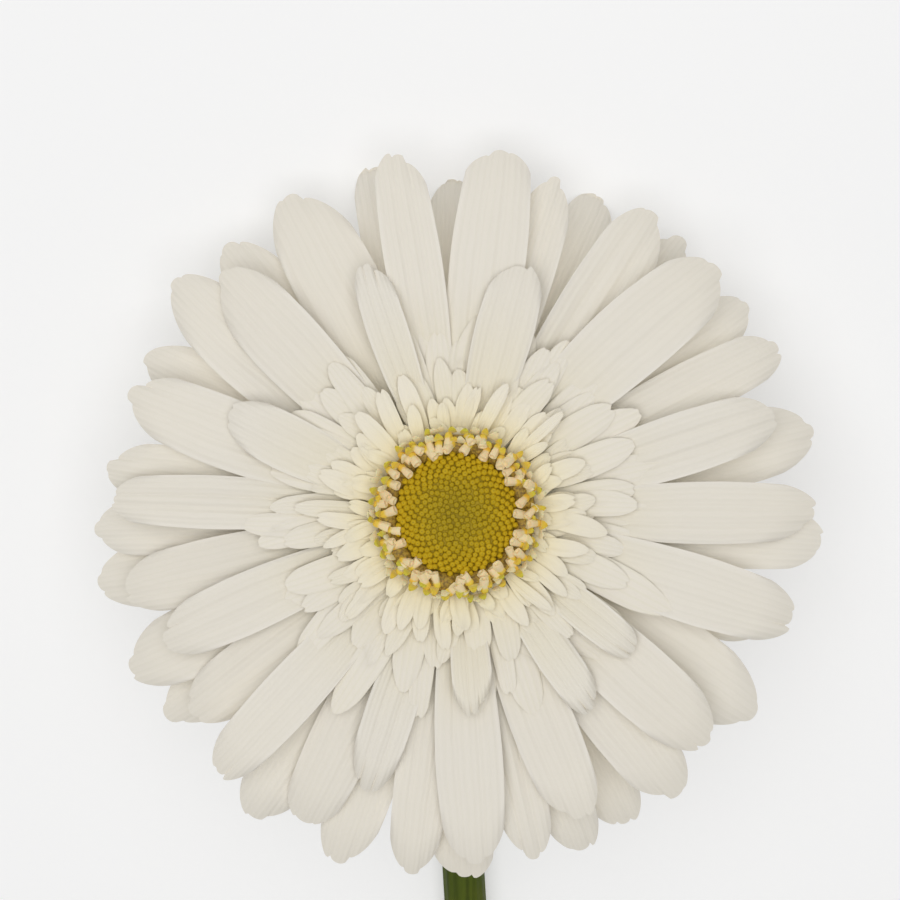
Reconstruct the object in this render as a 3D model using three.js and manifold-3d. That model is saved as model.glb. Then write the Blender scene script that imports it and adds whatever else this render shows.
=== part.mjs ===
// One cut gerbera: a white, many-rayed flower head on a long leafless stem, lying on a table.
// Millimetres and degrees, +Z up. The stem lies along Y with its cut end towards -Y. The neck
// bends the head upwards, and three rays of its low side reach down to the table and prop it.
import * as THREE from "three";
import { ParametricGeometry } from "three/addons/geometries/ParametricGeometry.js";
import { mergeVertices } from "three/addons/utils/BufferGeometryUtils.js";
import Module from "manifold-3d";

const wasm = await Module();
wasm.setup();

// ---------------------------------------------------------------- driving sizes

const GAP = 0.3; // clearance between pieces that touch

// stem
const STEM_LENGTH = 400; // along its middle line, from the cut to the flower head
const CUT_RADIUS = 4.2;
const NECK_RADIUS = 3.5;
const NECK_BEND_RADIUS = 24;
const STEM_BOW = 8; // how far the lying stretch strays sideways
const HEAD_TILT = 22; // how far the face of the flower leans from straight up

// receptacle, the fleshy base that every floret stands on
const RECEPTACLE_DEPTH = 11; // from its rim down to the stem
const CONE_SPREAD = 3; // how much wider its rim is than the flat top that the disc stands on

// bracts, the green scales around the receptacle
const BRACT_COUNT = 21;
const BRACT_THICKNESS = 1;
const BRACT_WIDTH = 3.6;
const BRACT_SPREAD = 3; // how far the tips reach out past the rim

// petals, the ray florets, in rows one above the other
const HEAD_RADIUS = 56.5; // from the head's axis to its outermost petal tip
const SHORT_RADIUS = 40; // the same for the row of short petals
const PETAL_THICKNESS = 0.55;
const ROW_CLEARANCE = 0.65; // free height between the roots of two rows
const CLAW_WIDTH = 1.8; // of a petal's narrow root
const TIP_STRAY = 0.5; // how far a petal's tip lies above or below its row
const ROLL_STRAY = 0.05; // how far a petal rolls about its own length, as a slope
const PROP_ARC = 30; // petals this near to straight down the low side prop the head up
const PROP_ROWS = 2; // and they belong to this many of the lowest rows

// disc, the eye of the flower
const EYE_RADIUS = 8.7;
const EYE_HEIGHT = 2.7;
const RING_WIDTH = 1.4; // of the ring of open florets around the eye
const ANTHER_COUNT = 40;
const ANTHER_WIDTH = 1.1;
const ANTHER_LENGTH = 3.4;

// ---------------------------------------------------------------- rows of petals

// Each petal is [direction, inset, spread, lean]: the direction of its tip around the head, how
// far its tip stays inside the row's radius, the angle that it fills at its widest as seen from
// the head's axis, and how far round its root lies from its tip. A row's slope is its rise at the
// root, and its tip is how far above the root its longest petals end.
const ROWS = [
  {
    name: "back_petal",
    radius: HEAD_RADIUS,
    slope: 0.02,
    tip: -9.3,
    petals: [
      [50.5, 2.2, 12.5, 0],
      [90.5, 5.1, 11.5, 0],
      [191, 0.5, 14, 0],
      [215.5, 2, 13.5, 0],
      [298.5, 1.9, 12, 0],
      [340, 5.5, 12.5, 0],
    ],
  },
  {
    name: "third_petal",
    radius: HEAD_RADIUS,
    slope: 0.06,
    tip: -7,
    petals: [
      [13, 0.8, 15, 0],
      [35.5, 2.1, 12.5, 0],
      [65, 3, 12, 0],
      [103, 1.9, 12.5, 0],
      [130.5, 3, 13.5, 0],
      [154, 3.8, 14, 0],
      [183, 1.5, 12, 0],
      [205.5, 1.5, 15, 0],
      [236.5, 0.7, 13, 0],
      [251.5, 0.1, 13, 0],
      [271.5, 1, 12.5, 0],
      [291, 1.5, 12, 0],
      [325.5, 1.5, 17, 0],
    ],
  },
  {
    name: "second_petal",
    radius: HEAD_RADIUS,
    slope: 0.1,
    tip: -4.7,
    petals: [
      [27, 2, 12.5, 0],
      [57, 2.5, 14, 0],
      [73, 4, 11.5, 0],
      [118, 2.5, 17.5, 0],
      [140.5, 1.5, 15, 4],
      [173, 3.5, 13.5, 0],
      [193, 5.5, 15, 0],
      [217, 6.5, 15, 0],
      [244, 4.5, 14, 0],
      [263, 1.5, 12, 0],
      [283, 3, 11.5, 0],
      [308, 2.2, 15, 0],
      [355.5, 1.5, 13.5, 0],
    ],
  },
  {
    name: "front_petal",
    radius: HEAD_RADIUS,
    slope: 0.14,
    tip: -2.4,
    petals: [
      [0, 3, 14, 0],
      [17.5, 7, 15, 0],
      [43.5, 3, 18.5, 5],
      [83, 2, 14, 0],
      [99.5, 2.5, 13.5, 0],
      [134, 6.5, 17.5, 1],
      [160, 4.5, 16, 2],
      [178, 5.5, 12.5, 0],
      [204, 9, 15, 0],
      [227.5, 4, 13.5, 0],
      [252, 13, 14, 0],
      [273.5, 4, 16, 0],
      [292, 7.5, 15.5, 0],
      [318, 5.5, 17, 0],
      [342.5, 4, 16.5, 0],
    ],
  },
  {
    name: "short_petal",
    radius: SHORT_RADIUS,
    slope: 0.24,
    tip: 0.9,
    petals: [
      [75, 2.5, 17, 0],
      [110, 1, 12, 2],
      [156, 3.5, 17.5, 3],
      [275, 10.5, 14, 0],
      [305, 5, 13, 0],
      [322, 7, 13, 0],
    ],
  },
];

// The two collars of small florets between the petals and the disc, each grown as one ring.
const COLLARS = [
  { name: "inner_petals", count: 22, reach: 24, stray: 3, width: 4.2, slope: 0.3, tip: 1.5 },
  { name: "quill_florets", count: 34, reach: 18.2, stray: 1.3, width: 2.2, slope: 0.4, tip: 2 },
];

// ---------------------------------------------------------------- what follows from them

const rad = THREE.MathUtils.degToRad;
const GOLDEN_ANGLE = rad(137.5);
const ROW_STEP = PETAL_THICKNESS + ROW_CLEARANCE;
const LEVELS = ROWS.length + COLLARS.length;
const TOP_HEIGHT = ROW_STEP * (LEVELS + 0.25);
const TOP_RADIUS = EYE_RADIUS + GAP + RING_WIDTH;
const RIM_RADIUS = TOP_RADIUS + CONE_SPREAD;
const tilt = rad(HEAD_TILT);
const neckBend = rad(90 - HEAD_TILT);

// Height and radius of the receptacle's upper cone where a level's roots meet it.
const rootHeight = (level) => ROW_STEP * (level + 0.65);
const coneRadius = (height) => RIM_RADIUS - (CONE_SPREAD * height) / TOP_HEIGHT;
const rootRadius = (level) => coneRadius(rootHeight(level)) + GAP;

// The end of the neck, where the flower head sits, and the middle of the head's rim plane.
const neckEnd = new THREE.Vector3(
  0,
  NECK_BEND_RADIUS * Math.sin(neckBend),
  NECK_RADIUS + NECK_BEND_RADIUS * (1 - Math.cos(neckBend)),
);
const headAxis = new THREE.Vector3(0, Math.sin(tilt), Math.cos(tilt));
const headCentre = neckEnd.clone().addScaledVector(headAxis, RECEPTACLE_DEPTH + GAP);

// Height, along the head's axis, at which a point so far down the head's low side meets the table.
const tableHeight = (down) => (down * Math.sin(tilt) - headCentre.z) / Math.cos(tilt);

// A gentle irregularity from -1 to 1 that differs from one piece to the next.
const stray = (index, of) => Math.cos(index * GOLDEN_ANGLE + of);

// ---------------------------------------------------------------- shapes

// Where a blade's sections stand along its length: close together at its two ends.
const STATIONS = [0, 0.03, 0.2, 0.4, 0.58, 0.74, 0.88, 0.97, 1];
const SHORT_STATIONS = [0, 0.05, 0.4, 0.75, 0.95, 1];
const BLADE_SIDES = 6;

// Share of its full width that a petal has at t, 0 at the root and 1 at the tip: it widens as the
// ring it stands in does, is widest at seven tenths of its length, and ends in a blunt point.
const BLUNTNESS = 0.6;
const WIDEST = Math.SQRT1_2;
const petalShape = (t) => Math.pow(Math.sin(Math.PI * t * t), BLUNTNESS);
const bractShape = (t) => Math.pow(1 - t, BLUNTNESS);

// A leaf-like solid: a lens-shaped section carried out from the head's axis along path(t), which
// gives the distance from the axis and the height. Its ends close to points.
function blade({ path, width, claw, shape, thickness, at, lean = 0, cup = 0.02, twist = 0, stations }) {
  const point = (u, v, target) => {
    const t = stations[Math.round(v * (stations.length - 1))];
    const closing = t === 0 || t === 1 ? 0 : 1;
    const around = 2 * Math.PI * u;
    const half = closing * ((claw / 2) * (1 - t) + (width / 2) * shape(t));
    const across = half * Math.cos(around);
    const off = closing * (thickness / 2) * Math.sin(around);
    const [out, height] = path(t);
    const angle = rad(at + lean * (1 - t));
    target.set(
      out * Math.cos(angle) - across * Math.sin(angle),
      out * Math.sin(angle) + across * Math.cos(angle),
      height + off + twist * across - cup * (across * across - (half * half) / 2),
    );
  };
  return new ParametricGeometry(point, BLADE_SIDES, stations.length - 1);
}

// The line of a petal's middle: it leaves its root at the row's slope and bends down to its tip.
function petalPath(level, reach, slope, tip) {
  const start = rootRadius(level);
  const span = reach - start;
  const bend = (rootHeight(level) + slope * span - tip) / (span * span);
  return (t) => [start + span * t, rootHeight(level) + slope * span * t - bend * (span * t) ** 2];
}

// A closed geometry as a solid, and back.
function solid(geometry) {
  const bare = geometry.clone().deleteAttribute("normal").deleteAttribute("uv");
  const merged = mergeVertices(bare, 1e-4);
  return new wasm.Manifold(
    new wasm.Mesh({
      numProp: 3,
      vertProperties: merged.attributes.position.array,
      triVerts: new Uint32Array(merged.index.array),
    }),
  );
}

function joined(geometries) {
  const mesh = geometries.map(solid).reduce((all, one) => all.add(one)).getMesh();
  return new THREE.BufferGeometry()
    .setAttribute("position", new THREE.BufferAttribute(mesh.vertProperties, 3))
    .setIndex(new THREE.BufferAttribute(mesh.triVerts, 1));
}

// A solid turned about the head's axis from [radius, height] points.
const turned = (points, segments) =>
  new THREE.LatheGeometry(points.map(([r, h]) => new THREE.Vector2(r, h)), segments).rotateX(Math.PI / 2);

// ---------------------------------------------------------------- head pieces, in the head's frame

const head = new THREE.Group();
head.position.copy(headCentre);
head.rotation.x = -tilt;

function piece(name, geometry, color, roughness, parent = head) {
  const material = new THREE.MeshStandardMaterial({ color, roughness, metalness: 0 });
  const mesh = new THREE.Mesh(geometry, material);
  mesh.name = name;
  parent.add(mesh);
  return mesh;
}

const PETAL_WHITE = 0xe3dfd2;
const COLLAR_CREAM = 0xe0d9bd;

// Receptacle: a bell that swells from the stem to the rim, and a cone that carries the rows.
const BELL_STEPS = 6;
const BELL_FULLNESS = 0.6;
const HEAD_SIDES = 28;
const bellShare = (depth) => Math.pow(1 - (depth / RECEPTACLE_DEPTH) ** 2, BELL_FULLNESS);
const bellRadius = (depth) => NECK_RADIUS + (RIM_RADIUS - NECK_RADIUS) * bellShare(depth);
const bell = Array.from({ length: BELL_STEPS + 1 }, (_, i) => {
  const depth = RECEPTACLE_DEPTH * (1 - i / BELL_STEPS);
  return [bellRadius(depth), -depth];
});
piece(
  "receptacle",
  turned([[0, -RECEPTACLE_DEPTH], ...bell, [TOP_RADIUS, TOP_HEIGHT], [0, TOP_HEIGHT]], HEAD_SIDES),
  0x8b9a52,
  0.7,
);

// Bracts: a green cup around the bell, which ends in a ring of pointed scales.
const cupOutside = bell.slice(1).map(([r, h]) => [r + GAP + BRACT_THICKNESS, h]);
const cupInside = bell.slice(1).map(([r, h]) => [r + GAP, h]).reverse();
const bractRoot = RECEPTACLE_DEPTH * 0.75;
const bractMiddle = RECEPTACLE_DEPTH * 0.5;
const onCup = (depth) => bellRadius(depth) + GAP + BRACT_THICKNESS / 2;
const bractPath = new THREE.QuadraticBezierCurve(
  new THREE.Vector2(onCup(bractRoot), -bractRoot),
  new THREE.Vector2(onCup(0), -bractMiddle),
  new THREE.Vector2(onCup(0) + BRACT_SPREAD, -BRACT_THICKNESS - GAP),
);
const bracts = Array.from({ length: BRACT_COUNT }, (_, i) =>
  blade({
    path: (t) => bractPath.getPoint(t).toArray(),
    width: BRACT_WIDTH,
    claw: 0,
    shape: bractShape,
    thickness: BRACT_THICKNESS,
    at: (360 / BRACT_COUNT) * i,
    cup: 0,
    stations: SHORT_STATIONS,
  }),
);
const bractCup = turned([...cupOutside, ...cupInside, cupOutside[0]], HEAD_SIDES);
piece("bracts", joined([bractCup, ...bracts]), 0x5f7434, 0.7);

// Petals. Those that lie lowest reach down to the table.
ROWS.forEach((row, level) => {
  const root = rootRadius(level);
  const least = Math.min(...row.petals.map(([, inset]) => inset));
  row.petals.forEach(([at, inset, spread, lean], i) => {
    const reach = row.radius - inset;
    const props = level < PROP_ROWS && Math.abs(at - 90) < PROP_ARC;
    const free = rootHeight(level) + row.tip + (inset - least) * row.slope + TIP_STRAY * stray(i, level);
    const tip = props ? tableHeight(reach * Math.sin(rad(at))) : free;
    piece(
      `${row.name}_${String(i + 1).padStart(2, "0")}`,
      blade({
        path: petalPath(level, reach, row.slope, tip),
        width: (root + (reach - root) * WIDEST) * rad(spread),
        claw: CLAW_WIDTH,
        shape: petalShape,
        thickness: PETAL_THICKNESS,
        at,
        lean,
        twist: ROLL_STRAY * stray(i, level + 1),
        stations: STATIONS,
      }),
      PETAL_WHITE,
      0.6,
    );
  });
});

// Collars: rings of small florets, each on a band around the receptacle's cone.
COLLARS.forEach((collar, i) => {
  const level = ROWS.length + i;
  const inner = rootRadius(level);
  const half = PETAL_THICKNESS / 2;
  const height = rootHeight(level);
  const band = turned(
    [
      [inner, height - half],
      [inner + 1, height - half],
      [inner + 1, height + half],
      [inner, height + half],
      [inner, height - half],
    ],
    HEAD_SIDES,
  );
  const florets = Array.from({ length: collar.count }, (_, k) =>
    blade({
      path: petalPath(level, collar.reach + collar.stray * stray(k, 0), collar.slope, height + collar.tip),
      width: collar.width,
      claw: CLAW_WIDTH,
      shape: petalShape,
      thickness: PETAL_THICKNESS,
      at: (360 / collar.count) * (k + 0.2 * stray(k, 2)),
      cup: 0,
      stations: SHORT_STATIONS,
    }),
  );
  piece(collar.name, joined([band, ...florets]), COLLAR_CREAM, 0.6);
});

// Disc: the closed florets of the eye, a low dome with a slight dip in the middle.
const eyeFoot = TOP_HEIGHT + GAP;
const EYE_STEPS = 6;
const dome = Array.from({ length: EYE_STEPS + 1 }, (_, i) => {
  const out = EYE_RADIUS * (1 - i / EYE_STEPS);
  const share = out / EYE_RADIUS;
  return [out, eyeFoot + EYE_HEIGHT * (0.9 + 0.3 * share ** 2 - 0.65 * share ** 4)];
});
piece("disc_buds", turned([[0, eyeFoot], [EYE_RADIUS, eyeFoot], ...dome], 24), 0x8e7a1e, 0.7);

// Open disc florets: a ring around the eye, with an anther tube leaning out of each.
const ringInner = EYE_RADIUS + GAP;
const ringOuter = ringInner + RING_WIDTH;
const ringTop = eyeFoot + EYE_HEIGHT * 0.5;
const ring = turned(
  [
    [ringInner, eyeFoot],
    [ringOuter, eyeFoot],
    [ringOuter, ringTop],
    [ringInner, ringTop],
    [ringInner, eyeFoot],
  ],
  HEAD_SIDES,
);
const anthers = Array.from({ length: ANTHER_COUNT }, (_, i) =>
  new THREE.CylinderGeometry(ANTHER_WIDTH / 2, ANTHER_WIDTH / 2, ANTHER_LENGTH, 5)
    .translate(0, ANTHER_LENGTH / 2, 0)
    .rotateX(Math.PI / 2)
    .rotateY(rad(30 + 8 * stray(i, 1)))
    .translate((ringInner + ringOuter) / 2, 0, ringTop - ANTHER_WIDTH)
    .rotateZ(((2 * Math.PI) / ANTHER_COUNT) * i),
);
piece("open_florets", joined([ring, ...anthers]), 0xd9bf6a, 0.6);

// ---------------------------------------------------------------- stem

// Its middle line, as a share s of its length from the cut: along the table, then up the neck.
const neckLength = NECK_BEND_RADIUS * neckBend;
const lyingLength = STEM_LENGTH - neckLength;
const lyingShare = lyingLength / STEM_LENGTH;
const stemRadius = (s) => CUT_RADIUS + (NECK_RADIUS - CUT_RADIUS) * Math.min(1, s / lyingShare);
class StemLine extends THREE.Curve {
  getPoint(s, target = new THREE.Vector3()) {
    const along = s * STEM_LENGTH;
    if (along <= lyingLength) {
      const bow = STEM_BOW * Math.sin((Math.PI * along) / lyingLength) ** 2;
      return target.set(bow, along - lyingLength, stemRadius(s));
    }
    const turn = (along - lyingLength) / NECK_BEND_RADIUS;
    const rise = NECK_BEND_RADIUS * (1 - Math.cos(turn));
    return target.set(0, NECK_BEND_RADIUS * Math.sin(turn), NECK_RADIUS + rise);
  }
}
const stemLine = new StemLine();
const LYING_STEPS = 16;
const NECK_STEPS = 8;
const stemStations = [
  0,
  ...Array.from({ length: LYING_STEPS + 1 }, (_, i) => (lyingShare * i) / LYING_STEPS),
  ...Array.from({ length: NECK_STEPS }, (_, i) => lyingShare + ((1 - lyingShare) * (i + 1)) / NECK_STEPS),
  1,
];
const STEM_SIDES = 12;
const tangent = new THREE.Vector3();
const side = new THREE.Vector3();
const up = new THREE.Vector3();
const stemSurface = (u, v, target) => {
  const ring = Math.round(v * (stemStations.length - 1));
  const s = stemStations[ring];
  const radius = ring === 0 || ring === stemStations.length - 1 ? 0 : stemRadius(s);
  stemLine.getTangent(s, tangent);
  side.set(1, 0, 0).addScaledVector(tangent, -tangent.x).normalize();
  up.crossVectors(tangent, side);
  stemLine.getPoint(s, target);
  target.addScaledVector(side, radius * Math.cos(2 * Math.PI * u));
  target.addScaledVector(up, radius * Math.sin(2 * Math.PI * u));
};

const gerbera = new THREE.Group();
gerbera.add(head);
const stemGeometry = new ParametricGeometry(stemSurface, STEM_SIDES, stemStations.length - 1);
piece("stem", stemGeometry, 0x4c5a24, 0.6, gerbera);

// The origin is on the table, under the middle of the whole flower.
const box = new THREE.Box3().setFromObject(gerbera, true);
const middle = box.getCenter(new THREE.Vector3());
gerbera.position.set(-middle.x, -middle.y, -box.min.z);

export default gerbera;
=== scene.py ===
import math

import bpy
import numpy as np
from mathutils import Matrix, Vector


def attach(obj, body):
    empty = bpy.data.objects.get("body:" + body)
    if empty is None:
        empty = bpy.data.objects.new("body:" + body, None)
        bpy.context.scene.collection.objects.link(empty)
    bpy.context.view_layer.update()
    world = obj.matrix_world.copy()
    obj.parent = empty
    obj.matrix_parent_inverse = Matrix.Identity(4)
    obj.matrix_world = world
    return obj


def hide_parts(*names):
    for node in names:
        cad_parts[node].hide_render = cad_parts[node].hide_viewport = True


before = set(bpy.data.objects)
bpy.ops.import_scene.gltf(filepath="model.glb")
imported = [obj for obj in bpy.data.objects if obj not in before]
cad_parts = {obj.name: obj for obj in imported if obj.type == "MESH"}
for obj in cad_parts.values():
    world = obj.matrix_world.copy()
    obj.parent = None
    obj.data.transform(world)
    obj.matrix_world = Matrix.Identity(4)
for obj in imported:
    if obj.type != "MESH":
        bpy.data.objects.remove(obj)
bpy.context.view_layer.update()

# The place of the flower head -------------------------------------------------------------------
# The head is a fleshy button that carries every floret. Its axis is the eye's own axis, and the
# plane of its rim is where the button is widest. All head pieces are worked out in millimetres
# in its frame: u to the right, v down the head's low side, w out along the axis.
MM = 0.001


def node_points(name):
    """The corner points of a CAD node, in metres, each once."""
    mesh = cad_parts[name].data
    points = np.empty(len(mesh.vertices) * 3)
    mesh.vertices.foreach_get("co", points)
    return np.unique(points.reshape(-1, 3).round(7), axis=0)


def eye_axis():
    """The direction in which the eye's points spread least, turned to point up."""
    eye = node_points("disc_buds")
    spread, directions = np.linalg.eigh(np.cov((eye - eye.mean(0)).T))
    axis = directions[:, np.argmin(spread)]
    return axis * np.sign(axis[2])


HEAD_W = eye_axis()
HEAD_U = np.array([1.0, 0.0, 0.0])
HEAD_V = np.cross(HEAD_W, HEAD_U)
HEAD_AXES = np.array([HEAD_U, HEAD_V, HEAD_W])
button = node_points("receptacle")
button_middle = button.mean(0)
button_w = (button - button_middle) @ HEAD_W
button_r = np.linalg.norm(button - button_middle - np.outer(button_w, HEAD_W), axis=1)
on_rim = button_r > button_r.max() - 0.1 * MM
HEAD_CENTRE = button_middle + button_w[on_rim].mean() * HEAD_W


def in_head(points):
    """Metres in the whole flower's frame to millimetres in the head's frame."""
    return (points - HEAD_CENTRE) @ HEAD_AXES.T / MM


def from_head(points):
    """Millimetres in the head's frame to metres in the whole flower's frame."""
    return points * MM @ HEAD_AXES + HEAD_CENTRE


# Stem -------------------------------------------------------------------------------------------
# One leafless stalk, solid and spongy, green and finely ribbed under a short down, paler and
# browner towards the cut. It lies on the table, and its neck curves up into the head.
STEM_LENGTH = 400.0
NECK_BEND_RADIUS = 24.0
STEM_BOW = 8.0
CUT_RADIUS = 4.2
NECK_RADIUS = 3.5
STEM_TOP_W = -11.3
RIB_COUNT = 13
RIB_DEPTH = 0.13
SIDES_PER_RIB = 6
STEM_RINGS = 420
# From the rim of the cut to its middle: depth of the face, share of the radius, and tone.
CUT_RINGS = [(0.0, 0.93, 0.35), (0.03, 0.8, 0.55), (0.1, 0.74, 0.75), (0.25, 0.4, 0.95), (0.35, 0.12, 1.0)]
RIM_TURN = math.radians(50)


class Value:
    """A socket of a finish. Arithmetic on it adds Math nodes to the finish's tree."""

    def __init__(self, finish, socket):
        self.finish = finish
        self.socket = socket

    def maths(self, operation, *others):
        return self.finish.maths(operation, self, *others)

    def __add__(self, other):
        return self.maths("ADD", other)

    def __sub__(self, other):
        return self.maths("SUBTRACT", other)

    def __rsub__(self, other):
        return self.finish.maths("SUBTRACT", other, self)

    def __mul__(self, other):
        return self.maths("MULTIPLY", other)

    __radd__ = __add__
    __rmul__ = __mul__

    def sine(self):
        return self.maths("SINE")

    def size(self):
        return self.maths("ABSOLUTE")

    def step(self, low, high):
        """0 below low and 1 above high, smooth between; the other way round if high is less."""
        settings = {"interpolation_type": "SMOOTHSTEP"}
        inputs = {"Value": self, "From Min": low, "From Max": high}
        return self.finish.node("ShaderNodeMapRange", settings, inputs)


class Finish:
    """A material with one Principled shader, and the nodes that feed it."""

    def __init__(self, name, **constants):
        self.material = bpy.data.materials.new(name)
        self.material.use_nodes = True
        self.tree = self.material.node_tree
        self.shader = self.tree.nodes["Principled BSDF"]
        for key, value in constants.items():
            socket = key.replace("_", " ").title().replace("Ior", "IOR")
            self.shader.inputs[socket].default_value = value

    def node(self, kind, settings=None, inputs=None, output=0):
        """A node of a kind: its settings first, then its sockets' values or links."""
        node = self.tree.nodes.new(kind)
        for key, value in (settings or {}).items():
            setattr(node, key, value)
        for key, value in (inputs or {}).items():
            if isinstance(value, Value):
                self.tree.links.new(value.socket, node.inputs[key])
            else:
                node.inputs[key].default_value = value
        return Value(self, node.outputs[output])

    def maths(self, operation, *values):
        """One Math node on numbers."""
        return self.node("ShaderNodeMath", {"operation": operation}, dict(enumerate(values)))

    def mix(self, share, first, second):
        """first where share is 0 and second where it is 1; both are colours."""
        paints = [c if isinstance(c, Value) else (*c, 1.0) for c in (first, second)]
        inputs = {0: share, 6: paints[0], 7: paints[1]}
        return self.node("ShaderNodeMix", {"data_type": "RGBA"}, inputs, 2)

    def place(self):
        """A point's place on the flower, in metres."""
        return self.node("ShaderNodeTexCoord", output="Object")

    def uv(self, output):
        """The piece's own UV map: output "X" is across it or around it, "Y" is along it."""
        place = self.node("ShaderNodeUVMap", {"uv_map": "blade"})
        return self.node("ShaderNodeSeparateXYZ", inputs={0: place}, output=output)

    def tone(self):
        """The number that each part of a piece carries for itself."""
        return self.node("ShaderNodeAttribute", {"attribute_name": "tone"}, output="Fac")

    def noise(self, place, scale, detail=2.0):
        """Soft blotches from 0 to 1, scale of them to the metre."""
        inputs = {"Vector": place, "Scale": scale, "Detail": detail}
        return self.node("ShaderNodeTexNoise", inputs=inputs)

    def reach(self, point):
        """Distance in metres from a fixed point."""
        inputs = {0: self.place(), 1: tuple(point)}
        return self.node("ShaderNodeVectorMath", {"operation": "DISTANCE"}, inputs, "Value")

    def drawn(self, place, x=1.0, y=1.0, z=1.0):
        """A place whose pattern is drawn out or packed along each axis."""
        return self.node("ShaderNodeMapping", inputs={"Vector": place, "Scale": (x, y, z)})

    def feed(self, socket, value):
        """Let a value drive one of the shader's sockets."""
        self.tree.links.new(value.socket, self.shader.inputs[socket])

    def bump(self, height, distance, strength=1.0):
        """Fine relief, whose height of 1 stands distance metres up."""
        inputs = {"Height": height, "Distance": distance, "Strength": strength}
        self.feed("Normal", self.node("ShaderNodeBump", inputs=inputs))


def skin(points, uv, tone, zip_ends=False):
    """A closed part: rings of points, one row each, joined to the next ring and round to their
    own start. Its two ends close on a middle point, or, if zip_ends, each end ring is folded flat
    and its two halves are joined across. uv has one column more than points, for the seam."""
    rows, cols = points.shape[:2]
    i, j = np.meshgrid(np.arange(rows - 1), np.arange(cols), indexing="ij")
    steps = [(0, 0), (0, 1), (1, 1), (1, 0)]
    quads = np.stack([(i + a) * cols + (j + b) % cols for a, b in steps], -1).reshape(-1, 4)
    quad_uv = np.stack([uv[i + a, j + b] for a, b in steps], -2).reshape(-1, 4, 2)
    verts = points.reshape(-1, 3)
    tones = np.broadcast_to(tone, (rows, cols)).reshape(-1)
    tris, tri_uv = np.empty((0, 3), int), np.empty((0, 3, 2))
    if zip_ends:
        a = np.arange(cols // 2 - 1)
        for row, turn in ((0, 1), (rows - 1, -1)):
            cap = row * cols + np.stack([a, cols - 1 - a, cols - 2 - a, a + 1], -1)[:, ::turn]
            quads = np.vstack([quads, cap])
            quad_uv = np.vstack([quad_uv, uv[row][cap - row * cols]])
    else:
        a = np.arange(cols)
        for row, turn in ((0, -1), (rows - 1, 1)):
            middle = np.full(cols, len(verts))
            verts = np.vstack([verts, points[row].mean(0)])
            tones = np.append(tones, tones[row * cols])
            fan = np.stack([row * cols + a, row * cols + (a + 1) % cols, middle], -1)
            fan_uv = np.stack([uv[row][a], uv[row][a + 1], uv[row][a]], -2)
            tris = np.vstack([tris, fan[:, ::turn]])
            tri_uv = np.vstack([tri_uv, fan_uv[:, ::turn]])
    part = {"verts": verts, "quads": quads, "tris": tris, "uv4": quad_uv, "uv3": tri_uv, "tone": tones}
    return outward(part)


def outward(part):
    """The part with its faces turned to point out, which its signed volume tells."""
    v, q, t = part["verts"], part["quads"], part["tris"]
    three = np.vstack([q[:, [0, 1, 2]], q[:, [0, 2, 3]], t])
    a, b, c = (v[three[:, k]] - v.mean(0) for k in range(3))
    if np.einsum("ij,ij->i", a, np.cross(b, c)).sum() < 0:
        for key in ("quads", "tris", "uv4", "uv3"):
            part[key] = part[key][:, ::-1]
    return part


def piece(name, node, finish, parts):
    """One Blender object of several closed parts, in metres, which stands for a CAD node. Its
    faces are smooth, but its shading breaks at a thin rim, where they turn more than RIM_TURN."""
    counts = np.cumsum([0] + [len(p["verts"]) for p in parts])
    verts = np.vstack([p["verts"] for p in parts])
    quads = np.vstack([p["quads"] + c for p, c in zip(parts, counts)])
    tris = np.vstack([p["tris"] + c for p, c in zip(parts, counts)])
    mesh = bpy.data.meshes.new(name)
    mesh.vertices.add(len(verts))
    mesh.vertices.foreach_set("co", verts.ravel())
    mesh.loops.add(quads.size + tris.size)
    mesh.loops.foreach_set("vertex_index", np.concatenate([quads.ravel(), tris.ravel()]))
    starts = np.concatenate([np.arange(len(quads)) * 4, quads.size + np.arange(len(tris)) * 3])
    mesh.polygons.add(len(starts))
    mesh.polygons.foreach_set("loop_start", starts)
    mesh.polygons.foreach_set("use_smooth", np.ones(len(starts), bool))
    uv = np.concatenate([p["uv4"].ravel() for p in parts] + [p["uv3"].ravel() for p in parts])
    mesh.uv_layers.new(name="blade").data.foreach_set("uv", uv)
    tones = np.concatenate([p["tone"] for p in parts])
    mesh.attributes.new("tone", "FLOAT", "POINT").data.foreach_set("value", tones)
    mesh.update(calc_edges=True)
    mesh.set_sharp_from_angle(angle=RIM_TURN)
    mesh.materials.append(finish.material)
    obj = bpy.data.objects.new(name, mesh)
    bpy.context.scene.collection.objects.link(obj)
    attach(obj, "root")
    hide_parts(node)
    return obj


def carried(path, way, radius, uv, tone):
    """A round section carried along a path, square to its way at each point. radius has a row for
    each point and a column for each direction around it, counted from the side where x grows.
    What would sink below the table is pressed flat on it."""
    way = way / np.linalg.norm(way, axis=1)[:, None]
    side = np.array([1.0, 0.0, 0.0]) - way[:, :1] * way
    side /= np.linalg.norm(side, axis=1)[:, None]
    other = np.cross(way, side)
    turn = np.linspace(0, 2 * np.pi, radius.shape[1], endpoint=False)[:, None]
    ring = side[:, None] * np.cos(turn) + other[:, None] * np.sin(turn)
    points = path[:, None] + ring * radius[:, :, None]
    points[:, :, 2] = np.maximum(points[:, :, 2], 0.0)
    return skin(points, uv, tone)


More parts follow.
